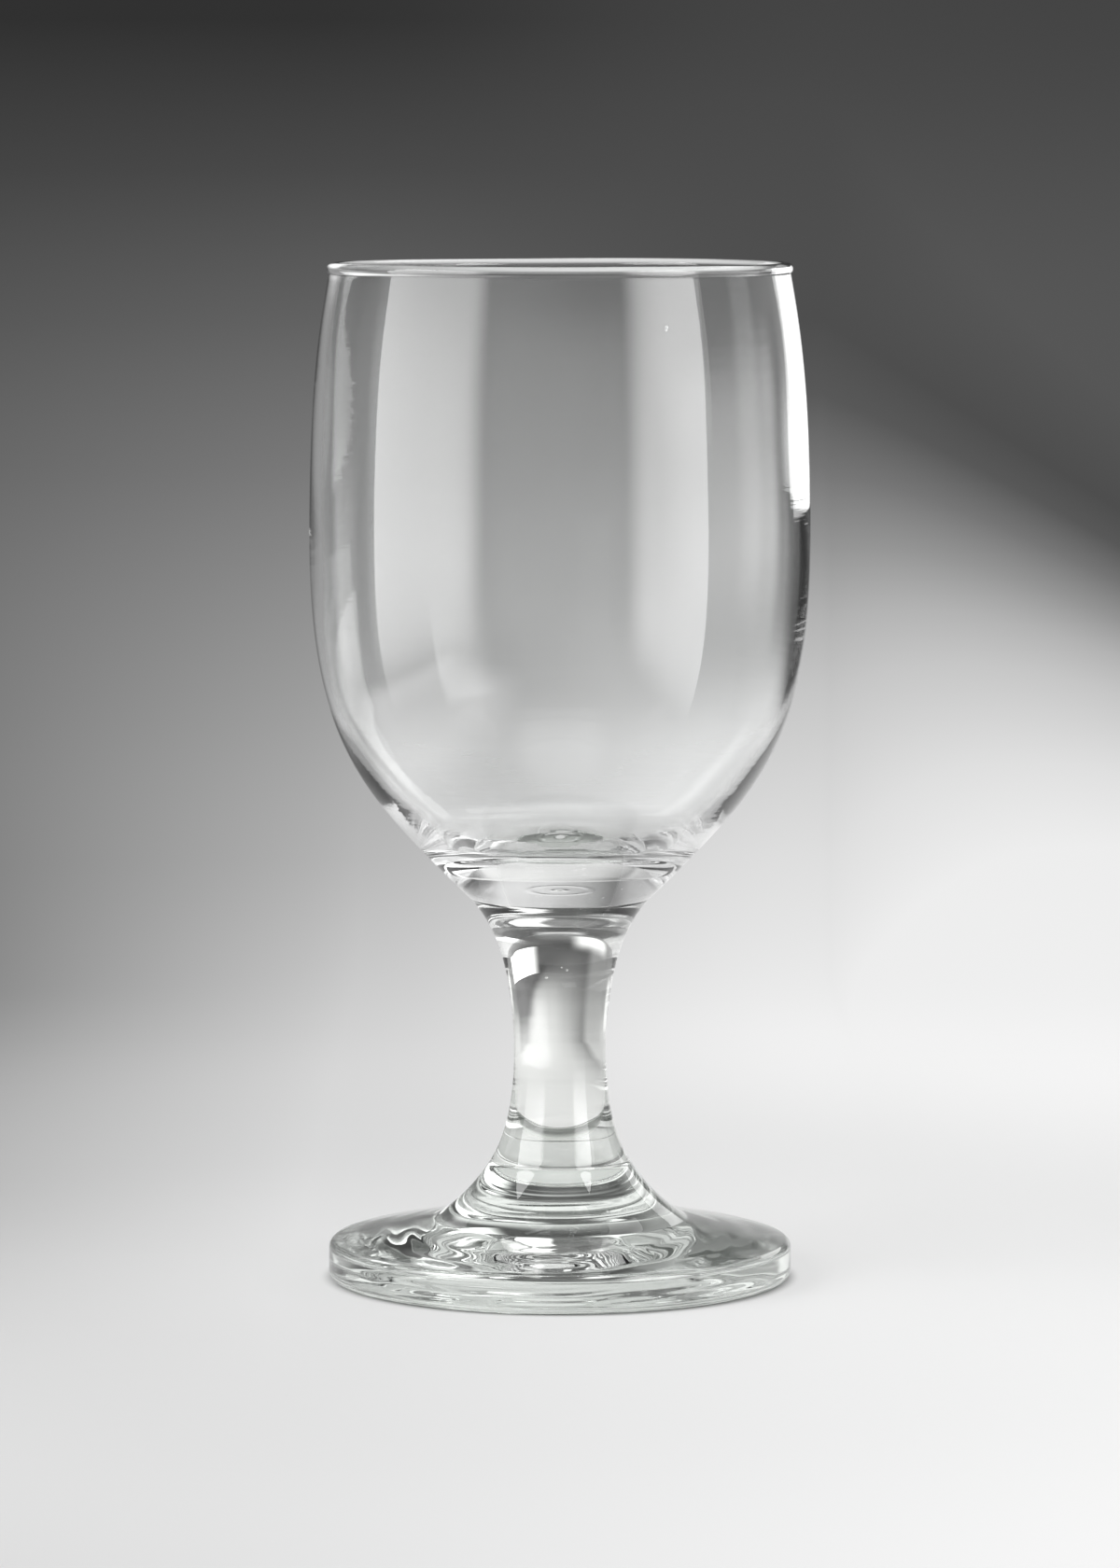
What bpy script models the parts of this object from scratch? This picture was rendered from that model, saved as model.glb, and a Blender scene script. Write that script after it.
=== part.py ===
"""Beer goblet of clear glass, made as the three gathers that are fused while hot.

A blown bowl with a fire-polished rim sits in the dished head of a solid stem,
and the stem stands on the boss of a pressed foot. Each piece is a turned shape.
Metres, +Z up, with the origin on the axis at the level of the table.
"""

import math

import bpy
from mathutils import Vector
from mathutils.geometry import interpolate_bezier

# Foot
FOOT_DIAMETER = 0.0754
FOOT_EDGE_HEIGHT = 0.0063
FOOT_EDGE_ROUND = 0.0014
FOOT_CREASE_DIAMETER = 0.0416
FOOT_CREASE_HEIGHT = 0.0097
FOOT_BOSS_DIAMETER = 0.0227
FOOT_BOSS_HEIGHT = 0.0189
FOOT_BEARING_WIDTH = 0.0050
FOOT_HOLLOW_RISE = 0.0014

# Stem
STEM_LENGTH = 0.0427
STEM_WAIST_DIAMETER = 0.0150
STEM_WAIST_RISE = 0.0172
STEM_HEAD_DIAMETER = 0.0293
STEM_HEAD_DISH = 0.0020

# Bowl
BOWL_HEIGHT = 0.1028
BOWL_BELLY_DIAMETER = 0.0810
BOWL_BELLY_RISE = 0.0582
BOWL_RIM_DIAMETER = 0.0752
BOWL_RIM_OVERHANG = 0.0003
BOWL_WALL_AT_RIM = 0.0015
BOWL_WALL_AT_BELLY = 0.0018
BOWL_WALL_AT_HEEL = 0.0026
BOWL_HEEL_RISE = 0.0130
BOWL_FLOOR_THICKNESS = 0.0100

# Clearance between two pieces at a fused seam
SEAM_GAP = 0.0003

# Lean of the outline at each ring, in degrees from straight down, outward positive
RIM_LEAN = 10.0
UPPER_SEAM_LEAN = -45.0
HEEL_LEAN = -45.0
LOWER_SEAM_LEAN = 32.0
CREASE_LEAN = 64.0
UPRIGHT = 0.0
LEVEL_INWARD = -90.0

# Pull of a curve's two handles, as shares of its own chord
SHOULDER_PULLS = (0.20, 0.58)
BELLY_PULLS = (0.53, 0.38)
FLOOR_PULLS = (0.19, 0.85)
SEAT_PULLS = (0.33, 0.33)
HEAD_PULLS = (0.31, 0.33)
WAIST_PULLS = (0.37, 0.28)
FLARE_PULLS = (0.42, 0.22)
HOLLOW_PULLS = (0.33, 0.33)

# Facets: around the axis, along a long curve, along a short one and round a bead
AROUND = 48
LONG_CURVE = 12
SHORT_CURVE = 6
BEAD_CURVE = 8
MERGE_DISTANCE = 0.00001

# Levels of the stack, from the table up
STEM_END_Z = FOOT_BOSS_HEIGHT + SEAM_GAP
STEM_HEAD_Z = STEM_END_Z + STEM_LENGTH
BOWL_SEAT_Z = STEM_HEAD_Z + SEAM_GAP
BELLY_Z = BOWL_SEAT_Z + BOWL_BELLY_RISE
RIM_Z = BOWL_SEAT_Z + BOWL_HEIGHT

GLASS_IOR = 1.52
GLASS_ROUGHNESS = 0.02


def leaning(lean):
    """Unit direction in the profile plane, straight down at 0 and outward at 90 degrees."""
    angle = math.radians(lean)
    return Vector((math.sin(angle), -math.cos(angle)))


def fair_curve(start, start_lean, end, end_lean, pulls, facets):
    """Points of one curve between two rings, both ends included."""
    chord = (end - start).length
    start_handle = start + leaning(start_lean) * chord * pulls[0]
    end_handle = end - leaning(end_lean) * chord * pulls[1]
    return interpolate_bezier(start, start_handle, end_handle, end, facets + 1)


def arc(centre, radius, start_angle, end_angle, facets):
    """Points of a circular arc, with angles in degrees from outward, up positive."""
    points = []
    for step in range(facets + 1):
        angle = math.radians(start_angle + (end_angle - start_angle) * step / facets)
        points.append(centre + Vector((math.cos(angle), math.sin(angle))) * radius)
    return points


def chain(*runs):
    """One outline from several runs of points, without the points that two runs share."""
    outline = []
    for run in runs:
        for point in run:
            if not outline or (point - outline[-1]).length > MERGE_DISTANCE:
                outline.append(point)
    return outline


def clear_glass(name, tint):
    """Material of one gather of clear glass."""
    material = bpy.data.materials.new(name)
    material.use_nodes = True
    shader = material.node_tree.nodes["Principled BSDF"]
    shader.inputs["Base Color"].default_value = (*tint, 1.0)
    shader.inputs["Roughness"].default_value = GLASS_ROUGHNESS
    shader.inputs["Metallic"].default_value = 0.0
    shader.inputs["IOR"].default_value = GLASS_IOR
    shader.inputs["Transmission Weight"].default_value = 1.0
    return material


def turned_piece(name, outline, material, collection):
    """One closed piece turned from an outline that runs down its outer side to the axis."""
    mesh = bpy.data.meshes.new(name)
    corners = [(point.x, 0.0, point.y) for point in outline]
    edges = [(index, index + 1) for index in range(len(corners) - 1)]
    mesh.from_pydata(corners, edges, [])
    mesh.materials.append(material)
    piece = bpy.data.objects.new(name, mesh)
    collection.objects.link(piece)
    turning = piece.modifiers.new("turning", "SCREW")
    turning.axis = "Z"
    turning.angle = math.tau
    turning.steps = AROUND
    turning.render_steps = AROUND
    turning.use_merge_vertices = True
    turning.merge_threshold = MERGE_DISTANCE
    turning.use_smooth_shade = True
    return piece


def seat_curve(level):
    """Rounded seat between bowl and stem, from the seam ring in to the axis."""
    ring = Vector((STEM_HEAD_DIAMETER / 2, level))
    centre = Vector((0.0, level - STEM_HEAD_DISH))
    rim_lean = LEVEL_INWARD + math.degrees(math.atan2(2 * STEM_HEAD_DISH, ring.x))
    return fair_curve(ring, rim_lean, centre, LEVEL_INWARD, SEAT_PULLS, SHORT_CURVE)


def bowl_outline():
    """Bowl from the middle of its floor, up the inside, over the rim and down to its seat."""
    bead_radius = BOWL_WALL_AT_RIM / 2 + BOWL_RIM_OVERHANG
    bead_centre = Vector((BOWL_RIM_DIAMETER / 2 - bead_radius, RIM_Z - bead_radius))
    neck_angle = math.degrees(math.acos(BOWL_WALL_AT_RIM / 2 / bead_radius))
    bead = arc(bead_centre, bead_radius, 180.0 + neck_angle, -neck_angle, BEAD_CURVE)

    belly = Vector((BOWL_BELLY_DIAMETER / 2, BELLY_Z))
    seam = Vector((STEM_HEAD_DIAMETER / 2, BOWL_SEAT_Z))
    shoulder = fair_curve(bead[-1], RIM_LEAN, belly, UPRIGHT, SHOULDER_PULLS, LONG_CURVE)
    under_belly = fair_curve(belly, UPRIGHT, seam, UPPER_SEAM_LEAN, BELLY_PULLS, LONG_CURVE)

    inner_belly = belly - Vector((BOWL_WALL_AT_BELLY, 0.0))
    up_the_cone = seam - leaning(UPPER_SEAM_LEAN) * BOWL_HEEL_RISE
    heel = up_the_cone + leaning(UPPER_SEAM_LEAN - 90.0) * BOWL_WALL_AT_HEEL
    floor = Vector((0.0, BOWL_SEAT_Z - STEM_HEAD_DISH + BOWL_FLOOR_THICKNESS))
    inner_shoulder = fair_curve(bead[0], RIM_LEAN, inner_belly, UPRIGHT, SHOULDER_PULLS, LONG_CURVE)
    inner_cone = fair_curve(inner_belly, UPRIGHT, heel, HEEL_LEAN, BELLY_PULLS, LONG_CURVE)
    inner_floor = fair_curve(heel, HEEL_LEAN, floor, LEVEL_INWARD, FLOOR_PULLS, LONG_CURVE)
    inside = chain(inner_shoulder, inner_cone, inner_floor)
    inside.reverse()
    return chain(inside, bead, shoulder, under_belly, seat_curve(BOWL_SEAT_Z))


def stem_outline():
    """Stem from the middle of its dished head, over the seam ring and down to its flat end."""
    head = Vector((STEM_HEAD_DIAMETER / 2, STEM_HEAD_Z))
    waist = Vector((STEM_WAIST_DIAMETER / 2, STEM_END_Z + STEM_WAIST_RISE))
    end = Vector((FOOT_BOSS_DIAMETER / 2, STEM_END_Z))
    dish = seat_curve(STEM_HEAD_Z)
    dish.reverse()
    upper = fair_curve(head, UPPER_SEAM_LEAN, waist, UPRIGHT, HEAD_PULLS, LONG_CURVE)
    lower = fair_curve(waist, UPRIGHT, end, LOWER_SEAM_LEAN, WAIST_PULLS, SHORT_CURVE)
    return chain(dish, upper, lower, [Vector((0.0, STEM_END_Z))])


def foot_outline():
    """Foot from the middle of its boss, down the flare, round the edge and under to the axis."""
    boss = Vector((FOOT_BOSS_DIAMETER / 2, FOOT_BOSS_HEIGHT))
    crease = Vector((FOOT_CREASE_DIAMETER / 2, FOOT_CREASE_HEIGHT))
    edge_ring = FOOT_DIAMETER / 2 - FOOT_EDGE_ROUND
    slope = math.degrees(math.atan2(FOOT_CREASE_HEIGHT - FOOT_EDGE_HEIGHT, edge_ring - crease.x))
    top_round = Vector((edge_ring, FOOT_EDGE_HEIGHT - FOOT_EDGE_ROUND))
    bottom_round = Vector((edge_ring, FOOT_EDGE_ROUND))
    bearing = Vector((edge_ring - FOOT_BEARING_WIDTH, 0.0))
    crown = Vector((0.0, FOOT_HOLLOW_RISE))
    hollow_lean = LEVEL_INWARD - math.degrees(math.atan2(2 * FOOT_HOLLOW_RISE, bearing.x))

    flare = fair_curve(boss, LOWER_SEAM_LEAN, crease, CREASE_LEAN, FLARE_PULLS, SHORT_CURVE)
    upper_edge = arc(top_round, FOOT_EDGE_ROUND, 90.0 - slope, 0.0, SHORT_CURVE)
    lower_edge = arc(bottom_round, FOOT_EDGE_ROUND, 0.0, -90.0, SHORT_CURVE)
    hollow = fair_curve(bearing, hollow_lean, crown, LEVEL_INWARD, HOLLOW_PULLS, SHORT_CURVE)
    return chain([Vector((0.0, FOOT_BOSS_HEIGHT))], flare, upper_edge, lower_edge, hollow)


def build_goblet():
    """Goblet of three turned pieces in its own collection."""
    for leftover in list(bpy.data.objects):
        bpy.data.objects.remove(leftover, do_unlink=True)
    goblet = bpy.data.collections.new("beer_goblet")
    bpy.context.scene.collection.children.link(goblet)
    turned_piece("bowl", bowl_outline(), clear_glass("bowl_glass", (0.97, 0.98, 0.98)), goblet)
    turned_piece("stem", stem_outline(), clear_glass("stem_glass", (0.95, 0.97, 0.96)), goblet)
    turned_piece("foot", foot_outline(), clear_glass("foot_glass", (0.94, 0.97, 0.95)), goblet)


build_goblet()
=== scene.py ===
"""Looks of the beer goblet: clear blown and pressed glass on a pale studio floor."""

import math

import bmesh
import bpy
import numpy as np
from mathutils import Matrix, Vector


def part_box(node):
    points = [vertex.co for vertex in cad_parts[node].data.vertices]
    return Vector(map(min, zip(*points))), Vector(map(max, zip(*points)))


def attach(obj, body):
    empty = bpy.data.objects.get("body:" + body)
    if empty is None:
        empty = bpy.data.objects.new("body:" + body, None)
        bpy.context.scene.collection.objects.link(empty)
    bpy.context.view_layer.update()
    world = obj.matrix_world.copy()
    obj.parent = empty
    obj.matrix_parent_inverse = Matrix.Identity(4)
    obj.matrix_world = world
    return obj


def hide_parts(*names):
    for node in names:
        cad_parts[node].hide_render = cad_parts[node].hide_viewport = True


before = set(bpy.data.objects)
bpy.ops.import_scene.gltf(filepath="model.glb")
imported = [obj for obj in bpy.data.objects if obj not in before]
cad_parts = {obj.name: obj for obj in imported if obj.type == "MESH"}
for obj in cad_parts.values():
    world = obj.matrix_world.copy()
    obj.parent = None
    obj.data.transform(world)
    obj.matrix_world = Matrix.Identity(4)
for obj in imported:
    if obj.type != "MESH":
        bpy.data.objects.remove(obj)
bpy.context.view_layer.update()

# Sizes of the glass that the frame's boxes don't hold, in metres
SEAM_GAP = 0.0003
FOOT_EDGE_HEIGHT = 0.0063
FOOT_EDGE_ROUND = 0.0014
FOOT_CREASE_RADIUS = 0.0208
FOOT_CREASE_HEIGHT = 0.0097
FOOT_BOSS_RADIUS = 0.01135
FOOT_BEARING_WIDTH = 0.0050
FOOT_HOLLOW_RISE = 0.0014
WAIST_RADIUS = 0.0075
WAIST_RISE = 0.01735
SEAT_DISH = 0.0020
BELLY_Z = 0.1204
RIM_RADIUS = 0.0376
RIM_OVERHANG = 0.0003
WALL_AT_RIM = 0.0015
WALL_AT_BELLY = 0.0018
WALL_AT_HEEL = 0.0026
HEEL_RUN = 0.0130
FLOOR_RISE = 0.0077

# Places and sizes that the frame gives
FOOT_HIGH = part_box("foot")[1]
STEM_LOW, STEM_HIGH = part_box("stem")
BOWL_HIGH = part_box("bowl")[1]
FOOT_RADIUS = FOOT_HIGH.x
BELLY_RADIUS = BOWL_HIGH.x
HEAD_RADIUS = STEM_HIGH.x
RIM_Z = BOWL_HIGH.z
LOWER_SEAM_Z = (FOOT_HIGH.z + STEM_LOW.z) / 2
UPPER_SEAM_Z = STEM_HIGH.z + SEAM_GAP / 2
WAIST_Z = LOWER_SEAM_Z + WAIST_RISE

# Lean of the outline at each ring, in degrees from straight down, outward positive
RIM_LEAN = 10.0
UPPER_SEAM_LEAN = -45.0
HEEL_LEAN = -45.0
LOWER_SEAM_LEAN = 32.0
CREASE_LEAN = 64.0
UPRIGHT = 0.0
LEVEL_INWARD = -90.0

# Pull of a curve's two handles, as shares of its own chord
SHOULDER_PULLS = (0.20, 0.58)
BELLY_PULLS = (0.53, 0.38)
FLOOR_PULLS = (0.19, 0.85)
SEAT_PULLS = (0.33, 0.33)
HEAD_PULLS = (0.31, 0.33)
WAIST_PULLS = (0.37, 0.28)
FLARE_PULLS = (0.42, 0.22)
HOLLOW_PULLS = (0.33, 0.33)

# Facets along each curve
BEAD_FACETS = 24
SHOULDER_FACETS = 48
BELLY_FACETS = 64
FLOOR_FACETS = 128
SEAT_FACETS = 10
HEAD_FACETS = 90
WAIST_FACETS = 64
FLARE_FACETS = 48
FOOT_TOP_POINTS = 40
FOOT_EDGE_FACETS = 16
HOLLOW_FACETS = 40

# Facets around the axis; the foot's ripples need the most
AROUND = 256
AROUND_FOOT = 576
SAME_POINT = 1e-6
SHARP_CORNER = math.radians(20.0)

# Marks of the plunger in the bowl's floor, which is pressed a little out of level
FLOOR_TILT = 0.055
FLOOR_TILT_FULL = 0.011
FLOOR_TILT_END = 0.030
PIP_RADIUS = 0.0005
PIP_HEIGHT = 0.00035
PLUNGER_RING_RADIUS = 0.0034
PLUNGER_RING_WIDTH = 0.00022
PLUNGER_RING_HEIGHT = 0.00008

# Fused seams: a fine groove, and a band beside it that stays even
SEAM_GROOVE_DEPTH = 0.00006
SEAM_GROOVE_WIDTH = 0.00014
SEAM_EVEN_BAND = 0.0005
SEAM_EVEN_FADE = 0.0015

# Waves in the blown wall and rings on the drawn stem: lobes, length, height and shift
BOWL_WAVES = (
    (2, 0.090, 22e-6, 0.4),
    (3, 0.050, 14e-6, 2.1),
    (5, 0.037, 8e-6, 4.4),
    (7, 0.026, 4e-6, 1.3),
)
STEM_RINGS = (
    (1, 0.0023, 1.2e-6, 0.3),
    (2, 0.0016, 0.8e-6, 2.6),
    (3, 0.0061, 2.5e-6, 5.1),
    (2, 0.0150, 9e-6, 1.0),
)
BOWL_WAVE_FADE = 0.010

# Dips of a rim that isn't quite level: lobes, height and shift
RIM_DIPS = ((2, 45e-6, 0.8), (5, 25e-6, 2.2))
RIM_DIP_BAND = 0.0012
INNER_SKIN_RISE = 0.0015

# Chill ripples of the pressed foot: shortest and longest wave outward and upward, most lobes either way
FOOT_RIPPLES = 7
FOOT_RIPPLE_HEIGHT = 11e-6
FOOT_RIPPLE_OUTWARD = (0.0040, 0.0090)
FOOT_RIPPLE_UPWARD = (0.0040, 0.0120)
FOOT_RIPPLE_LOBES = 7
FOOT_RIPPLE_START = 0.013
FOOT_RIPPLE_FADE = 0.006
FOOT_EDGE_EXTRA_RIPPLE = 1.6

# Air bubbles: facets round and down each, then centre, three half sizes and lean to the side
BUBBLE_AROUND = 16
BUBBLE_DOWN = 10
BOWL_SEEDS = (
    ((0.0165, -0.0339, 0.1554), (0.00042, 0.00026, 0.00070), 0.25),
    ((0.0088, -0.0090, 0.0668), (0.00016, 0.00016, 0.00016), 0.0),
    ((0.0115, -0.0080, 0.0672), (0.00018, 0.00018, 0.00018), 0.0),
    ((0.0060, -0.0085, 0.0655), (0.00014, 0.00014, 0.00014), 0.0),
    ((0.0040, -0.0080, 0.0656), (0.00014, 0.00014, 0.00014), 0.0),
)
STEM_SEEDS = (
    ((-0.0017, -0.0030, 0.0501), (0.00024, 0.00024, 0.00026), 0.0),
    ((0.0009, -0.0034, 0.0514), (0.00018, 0.00018, 0.00020), 0.0),
    ((0.0002, -0.0022, 0.0519), (0.00013, 0.00013, 0.00013), 0.0),
)

# Finish of the glass: tints, heights of its cords, scales per metre, and steps that end in a roughness
GLASS_IOR = 1.52
BOWL_TINT = (0.991, 0.995, 0.993)
STEM_TINT = (0.982, 0.992, 0.974)
FOOT_TINT = (0.960, 0.992, 0.962)
TINT_DRIFT_SCALE = 25.0
TINT_DRIFT_POWER = 1.6
BOWL_CORD_HEIGHT = 11e-6
FAINT_CORD_HEIGHT = 2e-6
CORD_SCALES = (22.0, 22.0, 520.0)
HANDLING_SCALE = 70.0
HANDLING_STEP = (0.60, 0.74, 0.0, 0.02)
SCRATCH_SCALE = 900.0
SCRATCH_STEP = (0.45, 0.62, 0.0, 0.20)
FOOT_WEAR_STEP = (0.0, 0.0004, 1.0, 0.0)
GLASS, FUSED = 0, 1

# Camera of the photograph
CAMERA_DISTANCE = 1.080
CAMERA_HEIGHT = 0.1857
CAMERA_PITCH = 5.557
CAMERA_LENS = 153.6
CAMERA_SENSOR = 36.0
CAMERA_SIGHT = 20.0

# Studio, turned about the goblet's axis, with its floor just clear of the foot
FLOOR_FIRST_RING = 0.1
FLOOR_RINGS = 12
WALL_RADIUS = 0.40
WALL_HEIGHT = 0.45
COVE_RADIUS = 0.02
COVE_FACETS = 12
FOOT_CLEARANCE = 0.00006
AROUND_STUDIO = 192

# Measures of the studio's painted light and shade: sideways, per metre of x, and away from the goblet, where
# the wall counts as floor that runs on
SIDEWAYS_STRETCH = 1.338
WALL_STRETCH = 12.7
COVE_STEP = (0.0, 0.05, 0.0, 0.095)
SHADING_LENGTH = 3.2
OFF_AXIS = 1e-6

# Tones of the studio, painted light and shade: place along the shading's length or round the wall, and grey
LEFT_TONES = (
    (0.0, 0.80), (0.05, 0.73), (0.095, 0.615), (0.155, 0.54), (0.21, 0.465), (0.34, 0.355), (0.54, 0.20),
    (0.67, 0.125), (0.80, 0.068), (0.93, 0.032),
)
FAR_LEFT_TONES = (
    (0.0, 0.75), (0.06, 0.67), (0.085, 0.60), (0.14, 0.50), (0.24, 0.40), (0.40, 0.34), (0.56, 0.31),
    (0.78, 0.28), (1.0, 0.25),
)
RIGHT_TONES = (
    (0.0, 0.094), (0.19, 0.076), (0.255, 0.098), (0.32, 0.18), (0.385, 0.30), (0.45, 0.45), (0.515, 0.565),
    (0.65, 0.74), (0.765, 0.85), (1.0, 0.87),
)
WALL_TONES = (
    (0.0, 1.0), (0.07, 1.0), (0.13, 0.76), (0.25, 0.55), (0.30, 0.42), (0.33, 0.34), (0.37, 0.3),
    (0.57, 0.05), (0.62, 0.06), (0.67, 0.40), (0.73, 0.66), (0.87, 0.76), (0.93, 1.0), (1.0, 1.0),
)

# Steps between the studio's painted light and shade: where each begins and ends, then the value at either
# end if not 0 and 1
LEFT_SHADE_STEP = (-0.17, -0.06, 1.0, 0.0)
LEFT_SHADE_DISTANCE_STEP = (0.15, 0.40, 0.72, 1.0)
LEFT_SHADE_DEPTH = 0.57
LEFT_SHADE_LOSS_UPWARD = 2.4
FAR_LEFT_STEP = (-0.24, -0.165)
MIDDLE_STEP = (-0.08, 0.08)
SLANT_ENDS = (0.0773, 0.29)
SLANT_START = 2.563
SLANT_FALL = 5.83
SLANT_SHARPENING_STEP = (0.08, 0.17, 1.0, 2.1)
SLANT_PLACE = 0.2
FAR_RIGHT_STEP = (0.18, 0.27, 1.0, 0.4)
FAR_RIGHT_AWAY_STEP = (0.65, 0.85)
UPPER_RIGHT_STEP = (0.14, 0.22, 1.0, 0.62)
WALL_TOP_STEP = (0.18, 0.36, 1.0, 0.12)
FRONT_STEP = (-0.12, 0.12, 0.59, 0.86)
WALL_AWAY_STEP = (0.4, 1.1)
BEHIND_STEP = (-0.16, 0.10)
BEHIND_DISTANCE_STEP = (0.16, 0.32)
BEHIND_TURN_STEP = (0.60, 0.74)
HIGH_TONE_STEP = (-0.20, -0.06, 0.28, 0.13)
HIGH_STEP = (0.215, 0.27)
HIGH_BEHIND_STEP = (-0.1, 0.1)

# Floor under the foot's edge, in its shade and darkened further by a painted shadow, and the share of the
# studio's tone that is glow
SHADE_START_STEP = (0.022, 0.031)
SHADE_END_STEP = (0.0362, 0.0394, 1.0, 0.0)
SHADE_DEPTH = 0.38
GLOW_SHARE_STEP = (0.12, 0.40, 0.40, 1.0)
GLOW_BOOST_STEP = (0.12, 0.40, 1.5, 1.0)

# Lamps: fades of their edges, and the rays that some are hidden from
CRISP = 0.01
LEFT_BOX = (0.312, 0.33)
LEFT_BOX_FADES = (CRISP, 0.35, 0.35, CRISP)
HIDDEN_NOWHERE = ()
HIDDEN_THROUGH_GLASS = ("transmission",)
HIDDEN_BUT_IN_SHEEN = ("transmission", "diffuse")
AIR_GREY = (0.10, 0.10, 0.10, 1.0)

# Bounces that the light needs to pass through the walls of the glass
GLASS_BOUNCES = 32
GLOSSY_BOUNCES = 16


class Signal:
    """A shader socket that takes part in arithmetic."""

    def __init__(self, finish, socket):
        self.finish = finish
        self.socket = socket

    def maths(self, operation, *values):
        sockets = dict(enumerate(values))
        return self.finish.node("ShaderNodeMath", {"operation": operation}, sockets)

    def __add__(self, other):
        return self.maths("ADD", self, other)

    def __radd__(self, other):
        return self.maths("ADD", other, self)

    def __sub__(self, other):
        return self.maths("SUBTRACT", self, other)

    def __rsub__(self, other):
        return self.maths("SUBTRACT", other, self)

    def __mul__(self, other):
        return self.maths("MULTIPLY", self, other)

    def __rmul__(self, other):
        return self.maths("MULTIPLY", other, self)

    def __truediv__(self, other):
        return self.maths("DIVIDE", self, other)

    def __pow__(self, other):
        return self.maths("POWER", self, other)


class Finish:
    """The nodes of one material, lamp or world, and the only place where nodes are made."""

    def __init__(self, owner):
        owner.use_nodes = True
        self.tree = owner.node_tree
        self.tree.nodes.clear()

    def node(self, kind, settings, sockets, output=0):
        made = self.tree.nodes.new(kind)
        for key, value in settings.items():
            if key == "stops":
                self.set_stops(made.color_ramp, value)
            else:
                setattr(made, key, value)
        for key, value in sockets.items():
            self.feed(made.inputs[key], value)
        return Signal(self, made.outputs[output]) if made.outputs else None

    def feed(self, socket, value):
        if isinstance(value, Signal):
            self.tree.links.new(value.socket, socket)
        else:
            socket.default_value = value

    @staticmethod
    def set_stops(ramp, stops):
        while len(ramp.elements) < len(stops):
            ramp.elements.new(1.0)
        for element, (place, grey) in zip(ramp.elements, stops):
            element.position = place
            element.color = (grey, grey, grey, 1.0)

    def slope(self, value, low, high, start=0.0, end=1.0, bend="LINEAR"):
        """Start below low, end above high and a straight run between."""
        return self.node("ShaderNodeMapRange", {"interpolation_type": bend}, {
            "Value": value, "From Min": low, "From Max": high, "To Min": start, "To Max": end,
        })

    def rise(self, value, low, high, start=0.0, end=1.0):
        """Start below low, end above high and a soft step between."""
        return self.slope(value, low, high, start, end, "SMOOTHSTEP")

    def clamp(self, value, low, high):
        return self.node("ShaderNodeClamp", {}, {"Value": value, "Min": low, "Max": high})

    def tones(self, value, stops):
        return self.node("ShaderNodeValToRGB", {"stops": stops}, {0: value})

    def blend(self, share, first, second):
        """First where share is 0, second where it is 1, as greys."""
        return self.node("ShaderNodeMix", {}, {0: share, 2: first, 3: second})

    def noise(self, place, scale, detail):
        return self.node("ShaderNodeTexNoise", {}, {"Vector": place, "Scale": scale, "Detail": detail})

    def place(self, kind, output):
        """X, Y and Z of a node's vector."""
        vector = self.node(kind, {}, {}, output)
        return [self.node("ShaderNodeSeparateXYZ", {}, {0: vector}, axis) for axis in range(3)]


def new_finish(name):
    material = bpy.data.materials.new(name)
    return material, Finish(material)


def show(finish, shader):
    finish.node("ShaderNodeOutputMaterial", {}, {"Surface": shader})


def leaning(lean):
    """Unit direction in the profile plane, straight down at 0 and outward at 90 degrees."""
    angle = math.radians(lean)
    return np.array((math.sin(angle), -math.cos(angle)))


def fair_curve(start, start_lean, end, end_lean, pulls, facets):
    """Points of one curve between two rings, both ends included."""
    start = np.array(start, float)
    end = np.array(end, float)
    chord = np.linalg.norm(end - start)
    start_handle = start + leaning(start_lean) * chord * pulls[0]
    end_handle = end - leaning(end_lean) * chord * pulls[1]
    t = np.linspace(0.0, 1.0, facets + 1)[:, None]
    rest = 1.0 - t
    return rest**3 * start + 3 * rest**2 * t * start_handle + 3 * rest * t**2 * end_handle + t**3 * end


def arc(centre, radius, start_angle, end_angle, facets):
    """Points of a circular arc, with angles in degrees from outward, up positive."""
    angles = np.radians(np.linspace(start_angle, end_angle, facets + 1))
    return np.array(centre) + radius * np.stack((np.cos(angles), np.sin(angles)), axis=1)


def chain(*runs):
    """One outline from several runs of points, without the points that two runs share."""
    outline = []
    for run in runs:
        for point in run:
            if not outline or np.linalg.norm(point - outline[-1]) > SAME_POINT:
                outline.append(np.array(point, float))
    return np.array(outline)


def hump(distance, width):
    return np.exp(-((distance / width) ** 2))


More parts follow.
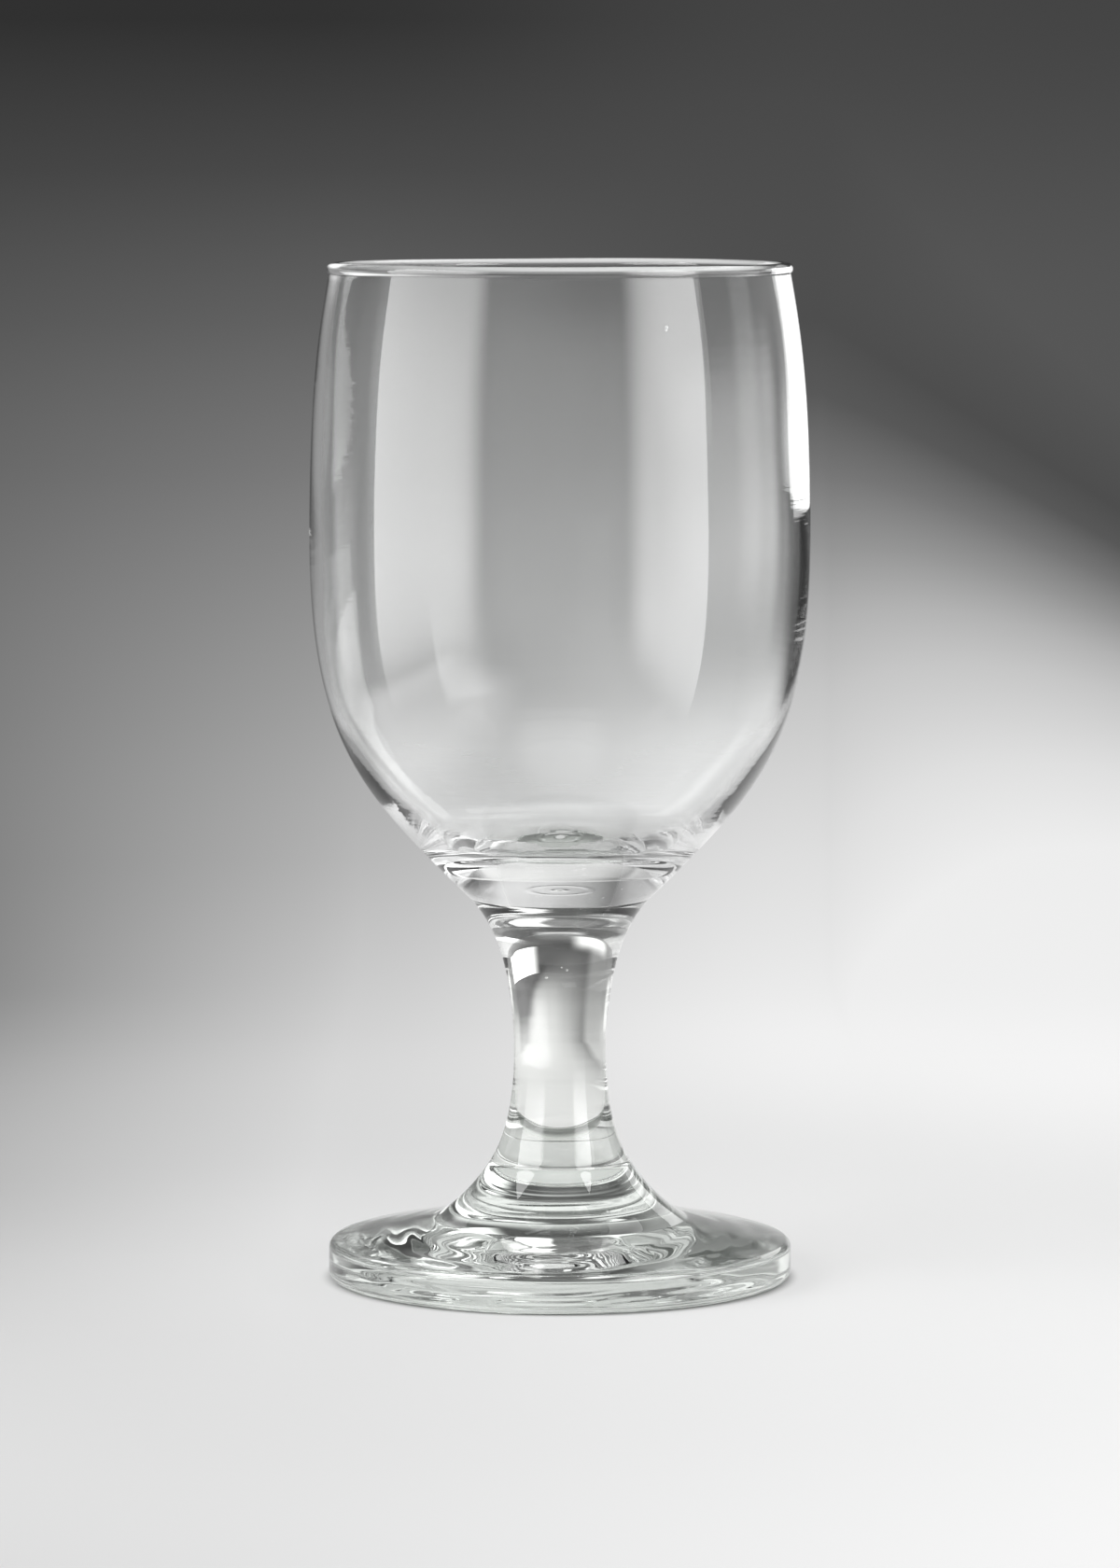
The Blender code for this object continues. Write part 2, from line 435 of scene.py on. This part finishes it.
def turned_glass(name, outline, slots, finishes, unevenness, around):
    """Closed turned piece from an outline that starts and ends on the axis."""
    rings = outline[1:-1]
    along = outline[2:] - outline[:-2]
    outward = np.stack((-along[:, 1], along[:, 0]), axis=1) / np.linalg.norm(along, axis=1)[:, None]
    angles = np.linspace(0.0, math.tau, around, endpoint=False)
    radius, height = rings[:, :1], rings[:, 1:]
    proud = unevenness(radius, height, angles[None, :])
    radius = radius + outward[:, :1] * proud
    height = height + outward[:, 1:] * proud
    skin = np.stack((radius * np.cos(angles), radius * np.sin(angles), height), axis=2)
    corners = [(0.0, 0.0, outline[0][1]), *skin.reshape(-1, 3), (0.0, 0.0, outline[-1][1])]
    last = len(corners) - 1

    def corner(ring, step):
        return 1 + ring * around + step % around

    steps = range(around)
    end_ring = len(rings) - 1
    faces = [(corner(0, step), corner(0, step + 1), 0) for step in steps]
    for ring in range(end_ring):
        faces += [
            (corner(ring + 1, step), corner(ring + 1, step + 1), corner(ring, step + 1), corner(ring, step))
            for step in steps
        ]
    faces += [(last, corner(end_ring, step + 1), corner(end_ring, step)) for step in steps]
    mesh = bpy.data.meshes.new(name)
    mesh.from_pydata(corners, [], faces)
    for finish in finishes:
        mesh.materials.append(finish)
    mesh.polygons.foreach_set("material_index", np.repeat(slots, around))
    piece = bpy.data.objects.new(name, mesh)
    bpy.context.scene.collection.objects.link(piece)
    return piece


def add_bubble(shape, matrix):
    """Ball of unit radius under a matrix, with its faces turned in towards the air.

    It is built face by face because the order of a primitive ball's faces changes from run to run.
    """

    def corner(tilt, turn):
        reach = math.sin(tilt)
        place = Vector((reach * math.cos(turn), reach * math.sin(turn), math.cos(tilt)))
        return shape.verts.new(matrix @ place)

    turns = np.linspace(0.0, math.tau, BUBBLE_AROUND, endpoint=False)
    tilts = np.linspace(0.0, math.pi, BUBBLE_DOWN + 1)[1:-1]
    top = corner(0.0, 0.0)
    rings = [[corner(tilt, turn) for turn in turns] for tilt in tilts]
    bottom = corner(math.pi, 0.0)
    for step in range(BUBBLE_AROUND):
        following = (step + 1) % BUBBLE_AROUND
        shape.faces.new((top, rings[0][following], rings[0][step]))
        for upper, lower in zip(rings, rings[1:]):
            shape.faces.new((upper[step], upper[following], lower[following], lower[step]))
        shape.faces.new((bottom, rings[-1][step], rings[-1][following]))


def add_seeds(piece, seeds):
    """Small air bubbles: each is a centre, its three half sizes and its lean to the side."""
    shape = bmesh.new()
    shape.from_mesh(piece.data)
    for centre, halves, lean in seeds:
        turn = Matrix.Rotation(lean, 3, "Y").to_quaternion()
        add_bubble(shape, Matrix.LocRotScale(centre, turn, halves))
    shape.to_mesh(piece.data)
    shape.free()


def seam_groove(ring, lean):
    """Bottom of the fine groove round a seam."""
    return np.array(ring) + leaning(lean - 90.0) * SEAM_GROOVE_DEPTH


def cut_short(curve, ring):
    """The curve without the points that the groove at this ring takes away."""
    return curve[np.linalg.norm(curve - np.array(ring), axis=1) > SEAM_GROOVE_WIDTH]


def seat_curve():
    """Dish of the stem's head, from its groove in to the axis."""
    ring = seam_groove((HEAD_RADIUS, UPPER_SEAM_Z), UPPER_SEAM_LEAN)
    centre = (0.0, UPPER_SEAM_Z - SEAT_DISH)
    ring_lean = LEVEL_INWARD + math.degrees(math.atan2(2 * SEAT_DISH, HEAD_RADIUS))
    return fair_curve(ring, ring_lean, centre, LEVEL_INWARD, SEAT_PULLS, SEAT_FACETS)


def bowl_outline():
    """Up the inside from the pip, over the bead of the rim, down the outside and in along the seat."""
    bead_radius = WALL_AT_RIM / 2 + RIM_OVERHANG
    bead_centre = (RIM_RADIUS - bead_radius, RIM_Z - bead_radius)
    neck_angle = math.degrees(math.acos(WALL_AT_RIM / 2 / bead_radius))
    bead = arc(bead_centre, bead_radius, 180.0 + neck_angle, -neck_angle, BEAD_FACETS)
    belly = np.array((BELLY_RADIUS, BELLY_Z))
    seam = np.array((HEAD_RADIUS, UPPER_SEAM_Z))
    shoulder = fair_curve(bead[-1], RIM_LEAN, belly, UPRIGHT, SHOULDER_PULLS, SHOULDER_FACETS)
    under_belly = fair_curve(belly, UPRIGHT, seam, UPPER_SEAM_LEAN, BELLY_PULLS, BELLY_FACETS)
    inner_belly = belly - (WALL_AT_BELLY, 0.0)
    heel = seam - leaning(UPPER_SEAM_LEAN) * HEEL_RUN + leaning(UPPER_SEAM_LEAN - 90.0) * WALL_AT_HEEL
    middle = (0.0, UPPER_SEAM_Z + FLOOR_RISE)
    floor = fair_curve(heel, HEEL_LEAN, middle, LEVEL_INWARD, FLOOR_PULLS, FLOOR_FACETS)
    floor[:, 1] += PIP_HEIGHT * hump(floor[:, 0], PIP_RADIUS)
    floor[:, 1] += PLUNGER_RING_HEIGHT * hump(floor[:, 0] - PLUNGER_RING_RADIUS, PLUNGER_RING_WIDTH)
    inside = chain(
        fair_curve(bead[0], RIM_LEAN, inner_belly, UPRIGHT, SHOULDER_PULLS, SHOULDER_FACETS),
        fair_curve(inner_belly, UPRIGHT, heel, HEEL_LEAN, BELLY_PULLS, BELLY_FACETS),
        floor,
    )[::-1]
    seat = seat_curve()
    outline = chain(inside, bead, shoulder, cut_short(under_belly, seam), seat)
    glass_faces = len(outline) - len(seat)
    return outline, [GLASS] * glass_faces + [FUSED] * (len(seat) - 1)


def stem_outline():
    """Out along the dish, down past the waist and in under the lower seam."""
    head = (HEAD_RADIUS, UPPER_SEAM_Z)
    waist = (WAIST_RADIUS, WAIST_Z)
    end = (FOOT_BOSS_RADIUS, LOWER_SEAM_Z)
    dish = seat_curve()[::-1]
    outside = chain(
        cut_short(fair_curve(head, UPPER_SEAM_LEAN, waist, UPRIGHT, HEAD_PULLS, HEAD_FACETS), head),
        cut_short(fair_curve(waist, UPRIGHT, end, LOWER_SEAM_LEAN, WAIST_PULLS, WAIST_FACETS), end),
        [seam_groove(end, LOWER_SEAM_LEAN)],
    )
    outline = chain(dish, outside, [(0.0, LOWER_SEAM_Z)])
    return outline, [FUSED] * (len(dish) - 1) + [GLASS] * len(outside) + [FUSED]


def foot_outline():
    """Out over the boss, down the flare and the sloping top, round the edge and in along the hollow."""
    boss = (FOOT_BOSS_RADIUS, LOWER_SEAM_Z)
    crease = np.array((FOOT_CREASE_RADIUS, FOOT_CREASE_HEIGHT))
    edge_ring = FOOT_RADIUS - FOOT_EDGE_ROUND
    slope = math.degrees(math.atan2(FOOT_CREASE_HEIGHT - FOOT_EDGE_HEIGHT, edge_ring - crease[0]))
    bearing = (edge_ring - FOOT_BEARING_WIDTH, 0.0)
    middle = (0.0, FOOT_HOLLOW_RISE)
    hollow_lean = LEVEL_INWARD - math.degrees(math.atan2(2 * FOOT_HOLLOW_RISE, bearing[0]))
    upper_centre = (edge_ring, FOOT_EDGE_HEIGHT - FOOT_EDGE_ROUND)
    lower_centre = (edge_ring, FOOT_EDGE_ROUND)
    upper_edge = arc(upper_centre, FOOT_EDGE_ROUND, 90.0 - slope, 0.0, FOOT_EDGE_FACETS)
    lower_edge = arc(lower_centre, FOOT_EDGE_ROUND, 0.0, -90.0, FOOT_EDGE_FACETS)
    flare = fair_curve(boss, LOWER_SEAM_LEAN, crease, CREASE_LEAN, FLARE_PULLS, FLARE_FACETS)
    top = np.linspace(crease, upper_edge[0], FOOT_TOP_POINTS)
    hollow = fair_curve(bearing, hollow_lean, middle, LEVEL_INWARD, HOLLOW_PULLS, HOLLOW_FACETS)
    outline = chain(
        [(0.0, LOWER_SEAM_Z), seam_groove(boss, LOWER_SEAM_LEAN)],
        cut_short(flare, boss), top, upper_edge, lower_edge, hollow,
    )
    return outline, [FUSED] + [GLASS] * (len(outline) - 2)


def clear_of_seams(height):
    """0 in the even band at either seam and 1 beyond its fade."""
    nearest = np.minimum(abs(height - UPPER_SEAM_Z), abs(height - LOWER_SEAM_Z))
    return np.clip((nearest - SEAM_EVEN_BAND) / SEAM_EVEN_FADE, 0.0, 1.0)


def winding_waves(waves, height, angle):
    """Sum of waves that wind round the axis, in metres."""
    total = np.zeros(np.broadcast_shapes(height.shape, angle.shape))
    for lobes, length, reach, shift in waves:
        total += reach * np.sin(lobes * angle + math.tau * height / length + shift)
    return total


def bowl_unevenness(radius, height, angle):
    """Slow waves of a blown wall, the dips of the rim and the tilt of the floor."""
    waves = winding_waves(BOWL_WAVES, height, angle)
    wall = np.clip((radius - HEAD_RADIUS) / BOWL_WAVE_FADE, 0.0, 1.0)
    dips = sum(reach * np.sin(lobes * angle + shift) for lobes, reach, shift in RIM_DIPS)
    rim = hump(height - RIM_Z, RIM_DIP_BAND)
    inner = height > UPPER_SEAM_Z + radius - HEAD_RADIUS + INNER_SKIN_RISE
    share = np.clip((FLOOR_TILT_END - radius) / (FLOOR_TILT_END - FLOOR_TILT_FULL), 0.0, 1.0)
    floor = share**2 * (3.0 - 2.0 * share) * inner
    return waves * wall + dips * rim - FLOOR_TILT * radius * np.sin(angle) * floor


def stem_unevenness(radius, height, angle):
    """Fine rings that the drawing of the stem left, the same at every radius."""
    return winding_waves(STEM_RINGS, height, angle) * clear_of_seams(height)


def foot_unevenness(radius, height, angle):
    """Chill ripples of a pressed foot, mostly rings, and strongest round its upright edge."""
    draw = np.random.default_rng(11)
    waves = np.zeros(np.broadcast_shapes(radius.shape, angle.shape))
    for _ in range(FOOT_RIPPLES):
        outward = math.tau / draw.uniform(*FOOT_RIPPLE_OUTWARD)
        upward = math.tau / draw.uniform(*FOOT_RIPPLE_UPWARD)
        lobes = draw.integers(-FOOT_RIPPLE_LOBES, FOOT_RIPPLE_LOBES + 1)
        phase = draw.uniform(0.0, math.tau)
        waves += np.sin(outward * radius + upward * height + lobes * angle + phase)
    spread = np.clip((radius - FOOT_RIPPLE_START) / FOOT_RIPPLE_FADE, 0.0, 1.0)
    edge = np.clip((radius - FOOT_RADIUS) / FOOT_EDGE_ROUND + 1.0, 0.0, 1.0)
    strength = spread * (1.0 + FOOT_EDGE_EXTRA_RIPPLE * edge)
    return FOOT_RIPPLE_HEIGHT * waves * strength * clear_of_seams(height)


def clear_glass(name, tint, cord_height):
    """Clear glass with faint level cords, a drifting tint, handling marks and a worn underside."""
    material, finish = new_finish(name)
    place = finish.node("ShaderNodeTexCoord", {}, {}, "Object")
    height = finish.node("ShaderNodeSeparateXYZ", {}, {0: place}, 2)
    drift = finish.noise(place, TINT_DRIFT_SCALE, 2.0)
    deeper = tuple(part ** TINT_DRIFT_POWER for part in tint)
    shade = finish.node("ShaderNodeMix", {"data_type": "RGBA"}, {
        0: drift, 6: (*tint, 1.0), 7: (*deeper, 1.0),
    }, 2)
    level = finish.node("ShaderNodeVectorMath", {"operation": "MULTIPLY"}, {0: place, 1: CORD_SCALES})
    cords = finish.noise(level, 1.0, 3.0)
    relief = finish.node("ShaderNodeBump", {}, {"Strength": 1.0, "Distance": cord_height, "Height": cords})
    handled = finish.rise(finish.noise(place, HANDLING_SCALE, 5.0), *HANDLING_STEP)
    scratched = finish.rise(finish.noise(place, SCRATCH_SCALE, 3.0), *SCRATCH_STEP)
    worn = finish.rise(height, *FOOT_WEAR_STEP) * scratched
    show(finish, finish.node("ShaderNodeBsdfPrincipled", {}, {
        "Base Color": shade, "Roughness": handled + worn, "IOR": GLASS_IOR, "Transmission Weight": 1.0,
        "Normal": relief,
    }))
    return material


def fused_face():
    """Where two pieces are fused, light passes as through one body."""
    material, finish = new_finish("fused_face")
    show(finish, finish.node("ShaderNodeBsdfTransparent", {}, {}))
    return material


def goblet():
    fused = fused_face()
    for node, outline_of, unevenness, around, tint, cord_height, seeds in (
        ("bowl", bowl_outline, bowl_unevenness, AROUND, BOWL_TINT, BOWL_CORD_HEIGHT, BOWL_SEEDS),
        ("stem", stem_outline, stem_unevenness, AROUND, STEM_TINT, FAINT_CORD_HEIGHT, STEM_SEEDS),
        ("foot", foot_outline, foot_unevenness, AROUND_FOOT, FOOT_TINT, FAINT_CORD_HEIGHT, ()),
    ):
        outline, slots = outline_of()
        finishes = (clear_glass(node + "_clear", tint, cord_height), fused)
        piece = turned_glass(node + "_glass", outline, slots, finishes, unevenness, around)
        add_seeds(piece, seeds)
        piece.data.shade_smooth()
        piece.data.set_sharp_from_angle(angle=SHARP_CORNER)
        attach(piece, "root")
        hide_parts(node)


def studio_floor():
    """Pale floor that runs up into a wall, both turned about the goblet's axis."""
    floor_end = WALL_RADIUS - COVE_RADIUS
    outline = chain(
        [(0.0, 0.0)],
        np.linspace((FLOOR_FIRST_RING, 0.0), (floor_end, 0.0), FLOOR_RINGS),
        arc((floor_end, COVE_RADIUS), COVE_RADIUS, -90.0, 0.0, COVE_FACETS),
        [(WALL_RADIUS, WALL_HEIGHT)],
    ) - (0.0, FOOT_CLEARANCE)
    angles = np.linspace(0.0, math.tau, AROUND_STUDIO, endpoint=False)
    corners = [(r * math.cos(a), r * math.sin(a), z) for r, z in outline for a in angles]
    faces = []
    for ring in range(len(outline) - 1):
        inner = ring * AROUND_STUDIO
        outer = inner + AROUND_STUDIO
        for step in range(AROUND_STUDIO):
            following = (step + 1) % AROUND_STUDIO
            faces.append((inner + step, outer + step, outer + following, inner + following))
    mesh = bpy.data.meshes.new("studio_floor")
    mesh.from_pydata(corners, [], faces)
    mesh.shade_smooth()
    mesh.materials.append(studio_paint())
    floor = bpy.data.objects.new("studio_floor", mesh)
    bpy.context.scene.collection.objects.link(floor)


def left_tone(finish, across, away, distance, z):
    """Painted shade behind the goblet's left side: grey, deeper further away and to the left."""
    depth = LEFT_SHADE_DEPTH - LEFT_SHADE_LOSS_UPWARD * z
    shade = finish.slope(across, *LEFT_SHADE_STEP) * depth * finish.rise(distance, *LEFT_SHADE_DISTANCE_STEP)
    return finish.tones(away / SHADING_LENGTH, LEFT_TONES) * (1.0 - shade)


def right_tone(finish, across, away, z):
    """Painted shade behind the goblet's right side: pale below a slanting line, dark above it, darker far
    right and high up.
    """
    slant = SLANT_START - away - SLANT_FALL * finish.clamp(across, *SLANT_ENDS)
    steep = finish.slope(across, *SLANT_SHARPENING_STEP)
    tone = finish.tones(slant * steep / SHADING_LENGTH + SLANT_PLACE, RIGHT_TONES)
    tone = tone * finish.rise(across, *FAR_RIGHT_STEP) ** finish.rise(away, *FAR_RIGHT_AWAY_STEP)
    return tone * finish.rise(z, *UPPER_RIGHT_STEP)


def behind_tone(finish, across, away, distance, z):
    """Painted light and shade behind the goblet, from far left to right."""
    left = left_tone(finish, across, away, distance, z)
    right = right_tone(finish, across, away, z)
    far_left = finish.tones(away / SHADING_LENGTH, FAR_LEFT_TONES)
    tone = finish.blend(finish.rise(across, *MIDDLE_STEP), left, right)
    return finish.blend(finish.rise(across, *FAR_LEFT_STEP), far_left, tone)


def around_tone(finish, x, y, z, away):
    """Floor and wall at the goblet's sides and in front of it, with painted shade: darker to the left and up
    high.
    """
    turn = x.maths("ARCTAN2", x, y)
    wall = finish.tones(turn / math.tau + 0.5, WALL_TONES) * finish.rise(z, *WALL_TOP_STEP)
    return finish.blend(finish.rise(away, *WALL_AWAY_STEP), finish.rise(x, *FRONT_STEP), wall)


def studio_tone(finish, x, y, z, distance):
    """Grey of the floor and the wall at each place, painted light and shade."""
    across = x * SIDEWAYS_STRETCH
    away = distance + z * WALL_STRETCH - finish.rise(z, *COVE_STEP)
    turned_behind = finish.rise(y / distance, *BEHIND_TURN_STEP)
    straight_behind = finish.blend(finish.rise(distance, *BEHIND_DISTANCE_STEP), 1.0, turned_behind)
    tone = finish.blend(
        finish.rise(y, *BEHIND_STEP) * straight_behind,
        around_tone(finish, x, y, z, away),
        behind_tone(finish, across, away, distance, z),
    )
    high = finish.rise(z, *HIGH_STEP) * finish.rise(y, *HIGH_BEHIND_STEP)
    return finish.blend(high, tone, finish.rise(x, *HIGH_TONE_STEP))


def studio_paint():
    """Pale floor with painted shade behind the goblet: grey to the left, dark above a slanting line to the
    right.

    The wall shows from its inner side only, so that a camera may stand outside it. The paint glows in part,
    so that the lamps alone don't set its tone, but not under the foot's edge, where the goblet shades it and
    a painted shadow darkens it further.
    """
    material, finish = new_finish("studio_paint")
    x, y, z = finish.place("ShaderNodeNewGeometry", "Position")
    distance = (x * x + y * y + OFF_AXIS) ** 0.5
    tone = studio_tone(finish, x, y, z, distance)
    # Painted shadow: a ring of floor under the foot's edge loses its glow and its colour is darkened
    painted_shadow_ring = finish.rise(distance, *SHADE_START_STEP) * finish.rise(distance, *SHADE_END_STEP)
    glow = finish.rise(distance, *GLOW_SHARE_STEP) * (1.0 - painted_shadow_ring)
    inside = finish.node("ShaderNodeBsdfPrincipled", {}, {
        "Base Color": tone * (1.0 - glow) * (1.0 - SHADE_DEPTH * painted_shadow_ring),
        "Roughness": 1.0, "Specular IOR Level": 0.0,
        "Emission Color": tone * glow * finish.rise(distance, *GLOW_BOOST_STEP), "Emission Strength": 1.0,
    })
    outside = finish.node("ShaderNodeBsdfTransparent", {}, {})
    from_outside = finish.node("ShaderNodeNewGeometry", {}, {}, "Backfacing")
    show(finish, finish.node("ShaderNodeMixShader", {}, {0: from_outside, 1: inside, 2: outside}))
    return material


def softbox(name, place, turn, size, radiance, fades, hidden):
    """Area lamp; fades are the shares of its size that dim to its left, right, lower and upper edge."""
    width, height = size
    light = bpy.data.lights.new(name, "AREA")
    light.shape = "RECTANGLE"
    light.size = width
    light.size_y = height
    light.energy = radiance * math.pi * width * height
    finish = Finish(light)
    across, up, _ = finish.place("ShaderNodeNewGeometry", "Parametric")
    left, right, lower, upper = fades
    glow = finish.rise(across, 0.0, left) * finish.rise(1.0 - across, 0.0, right)
    glow = glow * finish.rise(up, 0.0, lower) * finish.rise(1.0 - up, 0.0, upper)
    shine = finish.node("ShaderNodeEmission", {}, {"Color": glow})
    finish.node("ShaderNodeOutputLight", {}, {"Surface": shine})
    lamp = bpy.data.objects.new(name, light)
    lamp.location = place
    lamp.rotation_euler = turn
    for ray in ("camera", *hidden):
        setattr(lamp, "visible_" + ray, False)
    bpy.context.scene.collection.objects.link(lamp)


def facing(heading, droop=0.0):
    """Euler turn of a lamp; heading is degrees from +Y towards +X, droop is degrees below level."""
    return (math.radians(90.0 - droop), 0.0, -math.radians(heading))


def ring_place(heading, distance, height):
    """Place at a heading and a distance from the goblet's axis."""
    angle = math.radians(heading)
    return (math.sin(angle) * distance, math.cos(angle) * distance, height)


def even_fades(share):
    return (share, share, share, share)


def studio_light():
    """Softboxes round the goblet, and dim air.

    The boxes close by at the left and right draw the bands on the bowl's outer skin, and the bounce lies
    on the floor beside them. All four are hidden from rays that have passed through the glass, so that
    they don't stand in the bowl as boards when it is seen from a side. The sheens brighten the bands alone
    and leave the floor as it is.
    """
    for lamp in (
        ("left_softbox", (-0.200, -0.170, 0.165), facing(90.0), LEFT_BOX, 3.1,
         LEFT_BOX_FADES, HIDDEN_THROUGH_GLASS),
        ("left_sheen", (-0.202, -0.170, 0.165), facing(90.0), LEFT_BOX, 2.3,
         LEFT_BOX_FADES, HIDDEN_BUT_IN_SHEEN),
        ("right_sheen", (0.15, -0.183, 0.155), facing(-90.0), (0.216, 0.31), 5.7,
         (0.5, CRISP, 0.25, CRISP), HIDDEN_BUT_IN_SHEEN),
        ("left_bounce", (-0.190, -0.080, 0.002), facing(0.0, -90.0), (0.28, 0.44), 3.2,
         (0.25, 0.3, 0.35, 0.3), HIDDEN_THROUGH_GLASS),
        ("right_softbox", ring_place(100.0, 0.30, 0.115), facing(-80.0), (0.48, 0.17), 1.35,
         (0.3, 0.15, 0.5, 0.3), HIDDEN_NOWHERE),
        ("front_right_softbox", ring_place(127.5, 0.36, 0.22), facing(-52.5), (0.24, 0.20), 1.6,
         (0.5, CRISP, 0.4, 0.1), HIDDEN_NOWHERE),
        ("back_softbox", ring_place(32.0, 0.362, 0.158), facing(-148.0), (0.242, 0.104), 1.8,
         (CRISP, 0.25, CRISP, CRISP), HIDDEN_NOWHERE),
        ("left_card", ring_place(-66.0, 0.36, 0.075), facing(114.0), (0.15, 0.14), 0.7,
         even_fades(0.3), HIDDEN_NOWHERE),
        ("high_left_softbox", ring_place(-25.0, 0.36, 0.243), facing(155.0), (0.26, 0.162), 1.15,
         (0.3, 0.3, 0.45, 0.1), HIDDEN_NOWHERE),
        ("high_right_softbox", ring_place(32.0, 0.33, 0.48), facing(-148.0, 52.0), (0.27, 0.27), 1.3,
         even_fades(0.1), HIDDEN_NOWHERE),
        ("front_softbox", (0.0, -0.6, 1.05), facing(0.0, 60.0), (1.1, 0.9), 0.8,
         even_fades(0.3), HIDDEN_NOWHERE),
    ):
        softbox(*lamp)
    world = bpy.data.worlds.new("studio_air")
    finish = Finish(world)
    air = finish.node("ShaderNodeBackground", {}, {"Color": AIR_GREY})
    finish.node("ShaderNodeOutputWorld", {}, {"Surface": air})
    bpy.context.scene.world = world


def camera():
    lens = bpy.data.cameras.new("camera")
    lens.lens = CAMERA_LENS
    lens.sensor_width = CAMERA_SENSOR
    lens.clip_end = CAMERA_SIGHT
    taker = bpy.data.objects.new("camera", lens)
    taker.location = (0.0, -CAMERA_DISTANCE, CAMERA_HEIGHT)
    taker.rotation_euler = (math.radians(90.0 - CAMERA_PITCH), 0.0, 0.0)
    bpy.context.scene.collection.objects.link(taker)
    bpy.context.scene.camera = taker


goblet()
studio_floor()
studio_light()
camera()
scene = bpy.context.scene
scene.view_settings.view_transform = "Standard"
scene.cycles.max_bounces = GLASS_BOUNCES
scene.cycles.transmission_bounces = GLASS_BOUNCES
scene.cycles.glossy_bounces = GLOSSY_BOUNCES
scene.cycles.transparent_max_bounces = GLASS_BOUNCES
